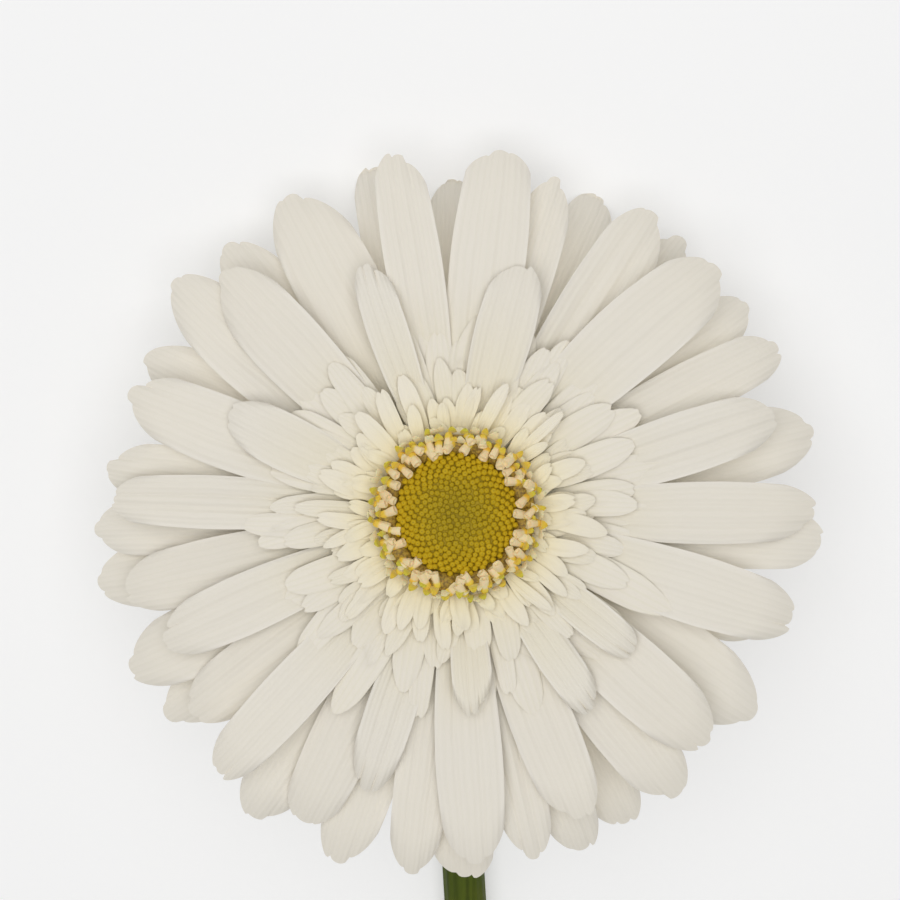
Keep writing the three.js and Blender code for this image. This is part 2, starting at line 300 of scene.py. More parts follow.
def stem_line(along):
    """The stem's middle line at distances from the cut: a flat stretch that strays sideways by a
    squared sine and rests on the table at its own radius, then an arc up to the head."""
    bend = math.acos(HEAD_W[2])
    neck = NECK_BEND_RADIUS * (math.pi / 2 - bend)
    lying = STEM_LENGTH - neck
    top = from_head(np.array([0.0, 0.0, STEM_TOP_W])) / MM
    arc_end = NECK_BEND_RADIUS * np.array([0.0, math.cos(bend), 1 - math.sin(bend)])
    turn = np.clip((along - lying) / NECK_BEND_RADIUS, 0, None)
    share = np.clip(along / lying, 0, 1)
    radius = CUT_RADIUS + (NECK_RADIUS - CUT_RADIUS) * share
    x = STEM_BOW * np.sin(np.pi * share) ** 2
    y = np.minimum(along - lying, 0) + NECK_BEND_RADIUS * np.sin(turn)
    z = NECK_BEND_RADIUS * (1 - np.cos(turn))
    line = np.stack([x, y, z], -1) - arc_end + top
    line[:, 2] = np.where(along < lying, radius, line[:, 2])
    return line, radius


def stem_part():
    """The stalk: ribs are a cosine around it that fades at the head, and slow swellings run along
    it. Its last rings shrink on the spot into the cut face: a rim, green flesh and sunk pith."""
    along = np.linspace(0, STEM_LENGTH + 0.3, STEM_RINGS)
    line, radius = stem_line(along)
    sides = RIB_COUNT * SIDES_PER_RIB
    turn = np.linspace(0, 2 * np.pi, sides, endpoint=False)
    drift = 0.35 * np.sin(along / 47)[:, None]
    ribs = np.cos(RIB_COUNT * turn + drift) + 0.4 * np.cos((RIB_COUNT - 5) * turn - 2 * drift)
    fade = np.clip((STEM_LENGTH - along) / 25, 0.25, 1)[:, None]
    swell = 0.042 * np.sin(along / 19 + 0.7)[:, None] * np.cos(turn + along[:, None] / 60)
    skin_radius = radius[:, None] - RIB_DEPTH * (1.4 - ribs) * fade / 2 + swell
    way = np.gradient(line, axis=0)
    depth, share, tone = np.array(CUT_RINGS[::-1]).T
    cut_line = line[:1] + np.outer(depth, way[0] / np.linalg.norm(way[0]))
    path = np.vstack([cut_line, line]) * MM
    way = np.vstack([np.repeat(way[:1], len(depth), 0), way])
    rings = np.vstack([share[:, None] * skin_radius[:1], skin_radius]) * MM
    tones = np.concatenate([tone, np.zeros(len(along))])[:, None]
    v = np.concatenate([np.zeros(len(depth)), along / STEM_LENGTH])
    uv = np.stack(np.meshgrid(np.linspace(0, 1, sides + 1), v), -1)
    return carried(path, way, rings, uv, tones)


def stem_finish():
    """Green with lengthwise streaks along the ribs, lighter at the neck and browner at the cut,
    and a pale cut face whose colour follows the tone from rim to pith."""
    f = Finish("stem_green", specular_ior_level=0.2)
    place = f.place()
    along = f.uv("Y")
    streaks = f.noise(f.drawn(place, 900, 45, 900), 1.0, 3.0)
    blotches = f.noise(place, 90, 3.0)
    green = f.mix(streaks.step(0.3, 0.7), (0.043, 0.062, 0.004), (0.08, 0.11, 0.008))
    green = f.mix(blotches.step(0.45, 0.75) * 0.5, green, (0.12, 0.13, 0.012))
    green = f.mix(along.step(0.9, 1.0) * 0.6, green, (0.17, 0.22, 0.05))
    green = f.mix(along.step(0.16, 0.0) * 0.65, green, (0.22, 0.16, 0.07))
    cut = f.tone()
    flesh = f.mix(cut.step(0.5, 0.9), (0.24, 0.33, 0.1), (0.62, 0.62, 0.4))
    bundles = f.noise(place, 2300, 1.0).step(0.55, 0.65) * cut.step(0.4, 0.6) * cut.step(0.95, 0.8)
    flesh = f.mix(bundles * 0.6, flesh, (0.16, 0.22, 0.06))
    f.feed("Base Color", f.mix(cut.step(0.1, 0.3), green, flesh))
    f.feed("Roughness", 0.5 + blotches * 0.25)
    down = f.noise(f.drawn(place, 1600, 700, 1600), 1.0, 2.0)
    f.bump(down + streaks * 0.6, 0.00012, 0.7)
    return f


piece("cut_stem", "stem", stem_finish(), [stem_part()])

# Receptacle -------------------------------------------------------------------------------------
# The fleshy button on top of the stem: a pale green bell below its rim and a blunt cone above,
# on which every floret stands. It grows out of the stem's neck.
RIM_RADIUS = button_r.max() / MM
BUTTON_DEPTH = 11.0
BUTTON_FULLNESS = 0.6
# The flesh turns to cream over this span of distances from a point high above the eye.
CREAM_FROM = from_head(np.array([0.0, 0.0, 19.0]))
CREAM_REACH = (0.024, 0.02)
in_button = in_head(button)
BUTTON_TOP = in_button[:, 2].max()
TOP_RADIUS = np.hypot(*in_button[in_button[:, 2] > BUTTON_TOP - 0.1, :2].T).max()


def bell_radius(depth):
    """Radius at a depth below the rim: an ellipse's quarter, made fuller by its power."""
    share = np.clip(1 - (depth / BUTTON_DEPTH) ** 2, 0, 1) ** BUTTON_FULLNESS
    return NECK_RADIUS + (RIM_RADIUS - NECK_RADIUS) * share


def cone_radius(height):
    """Radius at a height above the rim: it shrinks evenly to the top's."""
    return RIM_RADIUS - (RIM_RADIUS - TOP_RADIUS) * height / BUTTON_TOP


def turned(radius, height, sides, tone=0.0, ripple=0.0, waves=0):
    """A profile of radii and heights turned about the head's axis, from its foot to its top, with
    a cosine ripple around it."""
    turn = np.linspace(0, 2 * np.pi, sides, endpoint=False)
    wide = radius[:, None] * (1 + ripple * np.cos(waves * turn))
    w = np.broadcast_to(height[:, None], wide.shape)
    points = np.stack([wide * np.cos(turn), wide * np.sin(turn), w], -1)
    v = np.linspace(0, 1, len(radius))
    uv = np.stack(np.meshgrid(np.linspace(0, 1, sides + 1), v), -1)
    return skin(from_head(points), uv, tone)


def receptacle_finish():
    """Green flesh below the rim, bleaching to cream up the cone."""
    f = Finish("receptacle_green", roughness=0.6)
    place = f.place()
    flesh = f.mix(f.noise(place, 260, 3.0).step(0.3, 0.7), (0.2, 0.27, 0.07), (0.33, 0.38, 0.13))
    above = f.reach(CREAM_FROM).step(*CREAM_REACH)
    f.feed("Base Color", f.mix(above, flesh, (0.8, 0.72, 0.46)))
    f.bump(f.noise(place, 1500, 2.0), 0.00015, 0.5)
    return f


bell_depth = BUTTON_DEPTH * np.sqrt(np.linspace(1, 0, 16))
bell = np.stack([bell_radius(bell_depth), -bell_depth], -1)
cone_height = np.linspace(0, BUTTON_TOP, 8)[1:]
cone = np.stack([cone_radius(cone_height), cone_height], -1)
profile = np.vstack([[[NECK_RADIUS * 0.9, -BUTTON_DEPTH - 0.25]], bell, cone])
button_part = turned(profile[:, 0], profile[:, 1], 96, ripple=0.012, waves=21)
piece("flower_button", "receptacle", receptacle_finish(), [button_part])

# Bracts -----------------------------------------------------------------------------------------
# Three overlapping tiers of narrow green scales that wrap the button from below. They are leafy
# and downy, with a paler margin and a purplish point, and grow from the button's foot.
BRACT_TIERS = [
    # count, root depth, tip depth, stand-off, flare, width
    (17, 10.4, 4.2, 1.15, 0.6, 4.4),
    (21, 9.6, 2.0, 0.8, 1.3, 4.2),
    (24, 8.2, 0.3, 0.4, 2.4, 4.0),
]
DEEPEST_ROOT = 10.8
TIER_SHIFT = 0.33


def blade(middle, half, lift, thickness, end, at, lean=0.0, rows=24, cols=11, tone=0.5):
    """A leaf-like closed part. t runs 0 to 1 from root to tip, s runs -1 to 1 across. The middle
    line gives distance from the head's axis and height at t. The surface stands off it sideways
    by s times half(t) and rises by lift(s, t); lines of equal s stop at end(s) of the length.
    Half the thickness goes to each side along the surface's normal, and the whole is turned to
    its direction, with its root lean degrees round from its tip. Nothing sinks below the table."""
    s = np.sin(np.linspace(-0.5, 0.5, cols) * np.pi * 0.96) / np.sin(np.pi * 0.48)
    t = np.linspace(0, 1, rows)[:, None] * end(s)[None, :]
    s = np.broadcast_to(s, t.shape)
    out, height = middle(t)
    across = s * half(t)
    angle = np.radians(at + lean * (1 - t))
    u = out * np.cos(angle) - across * np.sin(angle)
    v = out * np.sin(angle) + across * np.cos(angle)
    face = from_head(np.stack([u, v, height + lift(s, t)], -1))
    off = thickness(s, t) * MM / 2
    face[..., 2] = np.maximum(face[..., 2], off)
    normal = np.cross(np.gradient(face, axis=0), np.gradient(face, axis=1))
    normal /= np.linalg.norm(normal, axis=-1)[..., None] + 1e-15
    off = normal * off[..., None]
    points = np.concatenate([face + off, (face - off)[:, ::-1]], 1)
    points[..., 2] = np.maximum(points[..., 2], 0.0)
    uv = np.stack([s, t], -1)
    uv = np.concatenate([uv, uv[:, ::-1], uv[:, :1]], 1)
    return skin(points, uv, tone, zip_ends=True)


def bract(rng, low, high, stand, flare, width, at):
    """One scale. It follows the bell at its tier's stand-off, flares at the rim, and narrows from
    a broad root to a long point, with a raised midrib."""
    reach = rng.uniform(-0.4, 0.3)
    wide = width * rng.uniform(0.88, 1.1)

    def middle(t):
        depth = low + (high + reach - low) * t
        return bell_radius(np.minimum(depth, DEEPEST_ROOT)) + stand + flare * t**3, -depth

    def half(t):
        return wide / 2 * (1 - t**1.8) ** 0.8 * (0.62 + 0.38 * np.sin(np.pi * t)) + 0.08

    return blade(
        middle, half,
        lift=lambda s, t: -0.18 * (1 - np.abs(s)) ** 2 * (1 - t),
        thickness=lambda s, t: 0.2 + 0.3 * (1 - np.abs(s)) * (1 - 0.6 * t),
        end=lambda s: 1 - 0.04 * np.abs(s),
        at=at + rng.uniform(-2, 2),
        lean=rng.uniform(-3, 3),
        tone=rng.uniform(),
    )


def bract_finish():
    """Green that darkens along the midrib and pales at the margin, with a purplish point."""
    f = Finish("bract_green", sheen_weight=0.3)
    across, along = f.uv("X").size(), f.uv("Y")
    place = f.place()
    green = f.mix(f.tone(), (0.1, 0.16, 0.03), (0.17, 0.24, 0.06))
    green = f.mix(across.step(0.25, 0.0) * 0.5, green, (0.07, 0.11, 0.02))
    green = f.mix(across.step(0.7, 1.0) * 0.5, green, (0.3, 0.36, 0.14))
    green = f.mix(along.step(0.8, 1.0) * 0.6, green, (0.13, 0.06, 0.05))
    speckle = f.noise(place, 1400, 3.0)
    f.feed("Base Color", f.mix(speckle.step(0.5, 0.75) * 0.4, green, (0.22, 0.28, 0.12)))
    f.feed("Roughness", 0.5 + speckle * 0.3)
    f.bump(speckle + (f.uv("X") * 22).sine() * 0.35, 0.00012, 0.6)
    return f


rng = np.random.default_rng(11)
scales = [
    bract(rng, *sizes, 360 / count * (k + TIER_SHIFT * tier))
    for tier, (count, *sizes) in enumerate(BRACT_TIERS)
    for k in range(count)
]
piece("involucre", "bracts", bract_finish(), scales)

# Petals -----------------------------------------------------------------------------------------
# The ray florets: thin creamy-white straps in rows, each narrowing to a pale yellow-green claw
# that stands on the button. Each is three petals grown together, so two grooves run along it and
# its tip has up to three small teeth. The lowest ones of the low side rest on the table.
PETAL_ROWS = [
    # row, count, share of its CAD node's width that a petal fills
    ("back_petal", 6, 0.98),
    ("third_petal", 13, 0.96),
    ("second_petal", 13, 0.92),
    ("front_petal", 15, 0.86),
    ("short_petal", 6, 0.9),
]
PETAL_THICKNESS = 0.3
WIDEST = 0.64
# The petals folded into deep lengthwise ribs, and those that open wide and end almost square.
RIBBED = {"front_petal_02", "second_petal_02", "front_petal_08", "back_petal_06", "second_petal_11"}
BROAD = {"front_petal_04", "third_petal_11"}
BROAD_FILL = 1.05
BROAD_TIP = 0.6
EYE_POINT = from_head(np.array([0.0, 0.0, 7.0]))


def place_of(node):
    """Where a CAD petal lies: the direction of its tip, its root's and tip's distance from the
    axis, its width, its lean, its roll as a slope, and its height as a curve over its length."""
    points = in_head(node_points(node))
    out = np.hypot(points[:, 0], points[:, 1])
    tip = points[out.argmax()]
    at = math.atan2(tip[1], tip[0])
    turn = (np.arctan2(points[:, 1], points[:, 0]) - at + np.pi) % (2 * np.pi) - np.pi
    root, reach = out.min(), out.max()
    share = (out - root) / (reach - root)
    lean = np.sum(turn * (1 - share)) / np.sum((1 - share) ** 2)
    across = out * (turn - lean * (1 - share))
    curve = np.polyfit(share, points[:, 2], 2)
    roll = np.polyfit(across, points[:, 2] - np.polyval(curve, share), 1)[0]
    return math.degrees(at), root, reach, 2 * np.abs(across).max(), math.degrees(lean), roll, curve


def petal_part(node, fill, rng):
    """One petal on its CAD node's place. It is a strap that widens gently from its claw to its
    widest point; its tip is an ellipse broken into three lobes, each stepped against the next and
    parted from it by a nick. Along it run two grooves that end at the nicks. Its margins turn up
    or down, ripple a little, and the rim of its tip rolls down."""
    at, root, reach, width, lean, roll, curve = place_of(node)
    long = reach - root
    wide = width * (BROAD_FILL if node in BROAD else fill) * rng.uniform(0.96, 1.04)
    base = rng.uniform(0.42, 0.5)
    fold = rng.uniform(0.45, 0.6) if node in RIBBED else rng.uniform(0.14, 0.32)
    arch, channel = rng.uniform(0.004, 0.016), rng.uniform(0.02, 0.035)
    wave, phase = rng.uniform(0.05, 0.2), rng.uniform(0, 6.28)
    sway, sag, twist = rng.uniform(-0.9, 0.9), rng.uniform(-0.3, 0.3), rng.uniform(-0.05, 0.05)
    left, right = rng.uniform(-0.55, 0.55, 2)
    split = rng.uniform(0.22, 0.42, 2) * (-1, 1)
    step = np.array([rng.uniform(-0.9, 1.1), 0.0, rng.uniform(-0.9, 1.1)])
    nick = rng.uniform(0.0, 0.9, 2)
    blunt = wide / 2 * rng.uniform(1.1, 1.8) * (BROAD_TIP if node in BROAD else 1)
    droop = rng.uniform(0.6, 1.5)

    def half(t):
        rise = 1 - (1 - np.clip(t / WIDEST, 0, 1)) ** 1.9
        fall = 1 - 0.22 * np.clip((t - WIDEST) / (1 - WIDEST), 0, 1) ** 1.7
        return wide / 2 * (base + (1 - base) * rise) * fall

    def middle(t):
        return root + long * t, np.polyval(curve, t) + sag * np.sin(2.2 * np.pi * t) * t

    def end(s):
        ellipse = blunt * (1 - np.sqrt(1 - 0.97 * s**2))
        nicks = sum(deep * np.exp(-np.abs(s - place) / 0.07) for deep, place in zip(nick, split))
        return 1 - (ellipse + step[np.digitize(s, split)] + nicks) / long

    def lift(s, t):
        across = s * half(t)
        grooves = np.exp(-((s - split[0]) / 0.14) ** 2) + np.exp(-((s - split[1]) / 0.14) ** 2)
        ridges = fold * (0.5 - grooves) * np.sin(np.pi * np.clip(t, 0, 1) ** 0.8) ** 0.5
        cup = (channel * (1 - t) ** 2 - arch * t) * across**2 + (roll + twist * t) * across
        margin = left * np.clip(-s - 0.6, 0, 1) ** 2 * 6 + right * np.clip(s - 0.6, 0, 1) ** 2 * 6
        ruffle = wave * s**2 * np.sin(7.5 * t + phase + 1.5 * s) * t
        rim = droop * np.clip((t / end(s) - 0.86) / 0.14, 0, 1) ** 2
        return ridges + cup + (margin * np.sin(np.pi * t) + ruffle) - rim

    def thickness(s, t):
        return PETAL_THICKNESS * (0.42 + 0.58 * (1 - s**2) * (1 - 0.45 * t))

    return blade(middle, half, lift, thickness, end, at + sway * 0.4, lean + sway, 64, 33, rng.uniform())


def petal_finish():
    """Creamy white, translucent, with fine lengthwise veins that meet at root and tip, a yellow-
    green claw, a faint cloudiness and a painted highlight along its margins; the veins also stand up a
    little."""
    f = Finish("petal_white", subsurface_weight=0.1, subsurface_scale=0.0008,
               subsurface_radius=(1.0, 1.0, 0.9), specular_ior_level=0.2)
    place = f.place()
    across, along = f.uv("X"), f.uv("Y")
    wander = f.noise(f.drawn(place, 160, 160, 160), 1.0, 2.0)
    veins = ((across + (wander - 0.5) * 0.09) * 34).sine() * 0.5 + 0.5
    cloud = f.noise(place, 55, 3.0)
    white = f.mix(cloud.step(0.3, 0.7), (0.845, 0.795, 0.695), (0.86, 0.81, 0.71))
    white = f.mix(f.tone() * 0.6, white, (0.857, 0.812, 0.72))
    white = f.mix(veins.step(0.55, 1.0) * 0.07, white, (0.66, 0.64, 0.5))
    white = f.mix(f.reach(EYE_POINT).step(0.036, 0.014) * 0.6, white, (0.87, 0.79, 0.57))
    white = f.mix(along.step(0.13, 0.0) * 0.6, white, (0.8, 0.76, 0.44))
    # Painted highlight: the margins are lightened towards a paler white.
    f.feed("Base Color", f.mix(across.size().step(0.8, 1.0) * 0.6, white, (0.9, 0.855, 0.77)))
    f.feed("Roughness", 0.48 + cloud * 0.16)
    f.bump(veins * 0.8 + wander * 0.5, 0.0001, 0.55)
    return f


white = petal_finish()
rng = np.random.default_rng(5)
for row, count, fill in PETAL_ROWS:
    for number in range(1, count + 1):
        node = f"{row}_{number:02d}"
        piece(f"ray_{node}", node, white, [petal_part(node, fill, rng)])

# Inner petals -----------------------------------------------------------------------------------
# The outer collar: half-grown ray florets in three tiers, creamier and shorter the nearer they
# stand to the eye, narrow tongues with round or notched tips, lying close on one another.
COLLAR_TIERS = [
    # count, root distance, root height, reach, tip height, width
    (26, 11.6, 5.8, 32.0, 5.6, 4.8),
    (34, 11.3, 6.4, 27.0, 6.4, 4.0),
    (40, 11.0, 7.0, 22.3, 7.3, 3.3),
]


def strap(rng, root, foot, reach, top, width, at, rows=30, cols=11, rolled=0.03):
    """A small floret: its middle line leaves the root rising and arches over to its tip, its
    sides run almost parallel from a broad claw to a round or notched end. rolled is how much its
    claw's margins curl up."""
    reach = reach + rng.normal(0, 1.9)
    rise = rng.uniform(0.1, 0.6)
    top = top + rng.normal(0, 0.25)
    wide = width * rng.uniform(0.72, 1.22)
    phase, swing = rng.uniform(0, 6.28), rng.uniform(-7, 7)
    notch, tilt = rng.uniform(-0.5, 0.9), rng.uniform(-0.1, 0.1)
    blunt = wide / 2 * rng.uniform(1.2, 2.8)
    long = reach - root

    def middle(t):
        return root + long * t, foot + (top - foot) * t + rise * np.sin(np.pi * t) - 0.5 * t**6

    def half(t):
        return wide / 2 * (0.58 + 0.42 * np.sin(np.pi * np.clip(t, 0, 1) ** 1.1 * 0.92))

    def lift(s, t):
        across = s * half(t)
        cup = (rolled * (1 - t) - 0.03 * t) * across**2
        groove = -0.09 * np.cos(np.pi * s * 1.5) * np.sin(np.pi * t)
        return cup + groove + tilt * across + 0.08 * s**2 * np.sin(6 * t + phase)

    def end(s):
        ellipse = blunt * (1 - np.sqrt(1 - 0.96 * s**2))
        return 1 - (ellipse + max(notch, 0) * np.exp(-np.abs(s) / 0.2)) / long

    def thickness(s, t):
        return 0.1 + 0.12 * (1 - s**2) * (1 - 0.4 * t)

    return blade(middle, half, lift, thickness, end, at + swing * 0.35, swing, rows, cols, rng.uniform())


def collar_finish():
    """Like the petals, but creamier, and yellow-green over more of its claw."""
    f = Finish("collar_cream", subsurface_weight=0.1, subsurface_scale=0.0006,
               subsurface_radius=(1.0, 1.0, 0.85), specular_ior_level=0.2)
    place = f.place()
    across, along = f.uv("X"), f.uv("Y")
    cloud = f.noise(place, 150, 2.0)
    cream = f.mix(f.tone(), (0.875, 0.82, 0.705), (0.885, 0.83, 0.72))
    cream = f.mix(f.reach(EYE_POINT).step(0.026, 0.013) * 0.6, cream, (0.88, 0.79, 0.55))
    cream = f.mix(along.step(0.2, 0.0) * 0.6, cream, (0.84, 0.75, 0.44))
    veins = (across * 15).sine() * 0.5 + 0.5
    f.feed("Base Color", f.mix(veins.step(0.6, 1.0) * 0.12, cream, (0.72, 0.7, 0.45)))
    f.feed("Roughness", 0.48 + cloud * 0.16)
    f.bump(veins + cloud * 0.4, 0.00008, 0.5)
    return f


cream = collar_finish()
rng = np.random.default_rng(23)
straps = [
    strap(rng, *sizes, 360 / count * (k + rng.uniform(-0.25, 0.25)))
    for count, *sizes in COLLAR_TIERS
    for k in range(count)
]
piece("collar_petals", "inner_petals", cream, straps)

# Quill florets ----------------------------------------------------------------------------------
# The inner collar: narrow pale florets that stand closest to the eye, some still rolled into
# quills, yellower than the petals and crowded against the open florets.
QUILL_TIERS = [
    # count, root distance, root height, reach, tip height, width
    (46, 10.9, 7.6, 18.6, 8.2, 2.7),
    (48, 10.8, 8.2, 16.1, 9.1, 2.2),
]


def quill_finish():
    """Pale cream with fine grooves, yellower towards the eye and at its claw."""
    f = Finish("quill_cream", subsurface_weight=0.1, subsurface_scale=0.0006,
               subsurface_radius=(1.0, 1.0, 0.8), specular_ior_level=0.2)
    across, along = f.uv("X"), f.uv("Y")
    cloud = f.noise(f.place(), 220, 2.0)
    pale = f.mix(f.tone(), (0.9, 0.835, 0.68), (0.91, 0.845, 0.7))
    pale = f.mix(f.reach(EYE_POINT).step(0.02, 0.012) * 0.9, pale, (0.93, 0.83, 0.55))
    f.feed("Base Color", f.mix(along.step(0.3, 0.0) * 0.6, pale, (0.92, 0.81, 0.5)))
    f.feed("Roughness", 0.48 + cloud * 0.16)
    f.bump((across * 9).sine() + cloud * 0.5, 0.00006, 0.5)
    return f


rng = np.random.default_rng(31)
quills = [
    strap(rng, *sizes, 360 / count * (k + rng.uniform(-0.3, 0.3)), rows=22, cols=9, rolled=0.2)
    for count, *sizes in QUILL_TIERS
    for k in range(count)
]
piece("quill_collar", "quill_florets", quill_finish(), quills)

# Open florets -----------------------------------------------------------------------------------
# The disc florets that have opened, around the eye. From each a tube of joined anthers leans in
# over the eye, yellow with pollen at its foot and cream at its mouth, and two small lips of its
# corolla curl back outside it. Their feet stand in a crowded ring, painted dark brown as the
# shade in the gaps between them.
in_eye = in_head(node_points("disc_buds"))
EYE_RADIUS = np.hypot(in_eye[:, 0], in_eye[:, 1]).max()
EYE_FOOT = in_eye[:, 2].min()
EYE_TOP = in_eye[:, 2].max()
ANTHER_COUNT = 56
ANTHER_RADIUS = 0.64
ANTHER_SIDES = 15
# From the foot of an anther tube to inside its mouth: place along it and share of its radius.
ANTHER_PROFILE = [
    (0.0, 0.55), (0.08, 0.8), (0.2, 0.95), (0.34, 0.92), (0.46, 0.85), (0.6, 0.98),
    (0.75, 1.02), (0.9, 1.05), (1.0, 1.02), (1.0, 0.62), (0.9, 0.45),
]
RING_RADIUS = 10.9
OUTER_ROW = 1.05
INNER_ROW = -0.1
# The tone that paints the ring of feet dark brown, as shade in the gaps between the florets.
FEET_SHADE_TONE = -0.5
RING_STEPS = 180
RING_SIDES = 14


def anther(rng, at, far):
    """A five-ribbed tube from a foot in the ring to a mouth nearer the eye. Its section swells
    past the foot, and its mouth flares and turns in again to a shallow hollow."""
    length = rng.uniform(1.9, 2.7)
    pitch = math.radians(rng.uniform(15, 45))
    turn = math.radians(at)
    yaw = turn + math.radians(rng.normal(0, 20))
    foot = np.array([far * math.cos(turn), far * math.sin(turn), EYE_FOOT + rng.uniform(0.9, 1.5)])
    ahead = np.array([-math.cos(yaw), -math.sin(yaw), math.tan(pitch)]) * math.cos(pitch)
    v, wide = np.array(ANTHER_PROFILE).T
    around = np.linspace(0, 2 * np.pi, ANTHER_SIDES, endpoint=False)
    ribbed = 1 + 0.07 * np.cos(5 * around)
    radius = ANTHER_RADIUS * rng.uniform(0.88, 1.12) * wide[:, None] * ribbed
    side = np.cross(ahead, [0.0, 0.0, 1.0])
    side /= np.linalg.norm(side)
    other = np.cross(side, ahead)
    spin = around + rng.uniform(0, 1.2)
    ring = np.cos(spin)[:, None] * side + np.sin(spin)[:, None] * other * 0.85
    points = foot + v[:, None, None] * length * ahead + radius[:, :, None] * ring
    uv = np.stack(np.meshgrid(np.linspace(0, 1, ANTHER_SIDES + 1), v), -1)
    return skin(from_head(points), uv, rng.uniform(0.05, 0.95))


def lip(rng, at, far, swing, tone):
    """One lip of a floret's corolla: a tiny pointed strap that rises and then curls outwards."""
    reach = far + rng.uniform(0.6, 1.25)
    foot = EYE_FOOT + rng.uniform(0.8, 1.2)
    height = rng.uniform(0.9, 1.7)
    wide = rng.uniform(0.9, 1.35)
    return blade(
        middle=lambda t: (far + (reach - far) * t, foot + height * np.sin(np.pi * (0.08 + 0.55 * t))),
        half=lambda t: wide / 2 * (1 - t**1.8) + 0.05,
        lift=lambda s, t: 0.35 * (s * wide / 2) ** 2,
        thickness=lambda s, t: 0.14 + 0.14 * (1 - s**2),
        end=lambda s: 1 - 0.12 * s**2,
        at=at + swing,
        lean=swing * 0.4,
        rows=9,
        cols=7,
        tone=tone,
    )


def floret_finish():
    """A tube is orange-yellow at its foot and cream from its middle to its mouth. Lips, whose tone
    is 1 or more, run from yellow-green to amber at 2, and are cream above that. The ring of feet,
    whose tone is below 0, is brown: painted shade in the gaps between the florets."""
    f = Finish("anther_cream", subsurface_weight=0.15, subsurface_scale=0.0006)
    along, tone = f.uv("Y"), f.tone()
    place = f.place()
    grain = f.noise(place, 2600, 2.0)
    pollen = f.mix(tone, (0.85, 0.5, 0.05), (0.8, 0.62, 0.06))
    pollen = f.mix(grain.step(0.45, 0.7) * 0.5, pollen, (0.85, 0.62, 0.12))
    mouth = f.mix(tone, (0.9, 0.69, 0.38), (0.9, 0.74, 0.44))
    tube = f.mix(along.step(0.3, 0.5), pollen, mouth)
    lips = f.mix(tone - 1, (0.66, 0.6, 0.05), (0.85, 0.58, 0.05))
    lips = f.mix(along.step(0.6, 0.0) * 0.5, lips, (0.88, 0.76, 0.4))
    lips = f.mix(tone.step(2.2, 2.4), lips, (0.89, 0.76, 0.44))
    # Painted shade: the ring of feet is dark brown, standing for the shade in the gaps between florets.
    ring = f.mix(grain.step(0.35, 0.65), (0.19, 0.11, 0.01), (0.44, 0.28, 0.03))
    paint = f.mix(tone.step(0.97, 0.99), tube, lips)
    f.feed("Base Color", f.mix(tone.step(0.0, -0.02), paint, ring))
    f.feed("Roughness", 0.45 + grain * 0.3)
    f.bump(grain + (f.uv("X") * 31.4).sine() * 0.3, 0.00006, 0.6)
    return f


def floret_ring():
    """The crowded feet: a ring whose section is a low mound, lumpy around."""
    turn = np.linspace(0, 2 * np.pi, RING_STEPS, endpoint=False)
    around = np.linspace(0, 2 * np.pi, RING_SIDES, endpoint=False)
    middle = (EYE_RADIUS + TOP_RADIUS) / 2 + 0.5
    wide = (TOP_RADIUS - EYE_RADIUS) / 2 + 0.65
    lump = 0.16 * np.cos(46 * turn)[:, None] + 0.1 * np.cos(31 * turn + 1.3)[:, None]
    out = middle + wide * np.cos(around)[None] * np.ones_like(lump)
    rise = np.sin(around)[None]
    w = EYE_FOOT + 0.45 + np.where(rise > 0, rise * (1.0 + lump), rise * 0.35)
    points = np.stack([out * np.cos(turn)[:, None], out * np.sin(turn)[:, None], w], -1)
    verts = from_head(points).reshape(-1, 3)
    i, j = np.meshgrid(np.arange(RING_STEPS), np.arange(RING_SIDES), indexing="ij")
    steps = [(0, 0), (0, 1), (1, 1), (1, 0)]
    corners = [(i + a) % RING_STEPS * RING_SIDES + (j + b) % RING_SIDES for a, b in steps]
    quads = np.stack(corners, -1).reshape(-1, 4)
    return outward({
        "verts": verts,
        "quads": quads,
        "tris": np.empty((0, 3), int),
        "uv4": np.zeros((len(quads), 4, 2)),
        "uv3": np.empty((0, 3, 2)),
        "tone": np.full(len(verts), FEET_SHADE_TONE),
    })


rng = np.random.default_rng(3)
florets = []
for k in range(ANTHER_COUNT):
    at = 360 / ANTHER_COUNT * (k + rng.uniform(-0.3, 0.3))
    far = RING_RADIUS + (OUTER_ROW if k % 2 else INNER_ROW) + rng.uniform(-0.3, 0.3)
    florets.append(anther(rng, at, far))
    florets.append(lip(rng, at, far + 0.05, rng.uniform(-2, 2), rng.uniform(1.0, 2.0)))
    aside = far + rng.uniform(-0.3, 0.4)
    florets.append(lip(rng, at, aside, rng.choice([-4.5, 4.5]), rng.uniform(2.5, 3.0)))
florets.append(floret_ring())
piece("anther_ring", "open_florets", floret_finish(), florets)

# Eye --------------------------------------------------------------------------------------------
# The closed disc florets: olive-yellow waxy buds packed in two sets of spirals on a low dome,
# smallest and greenest in the middle, where the dome dips a little.
BUD_COUNT = 360
BUD_SIDES = 10
BUD_SIZE = 0.47
# A bud's rings from its foot up: share of its radius, height, and the level that its paint reads.
KNOB_LEVELS = [(0.85, -0.9, 0.0), (1.0, 0.1, 0.4), (0.8, 0.65, 0.75), (0.34, 0.98, 0.95)]
KNOB_FOOT = -0.95
KNOB_TOP = 0.86


def dome_height(out):
    """Height of the dome: a rim that falls away steeply and a shallow dip in the middle."""
    share = out / EYE_RADIUS
    return EYE_FOOT + (EYE_TOP - EYE_FOOT) * (0.78 + 0.3 * share**2 - 0.62 * share**4)


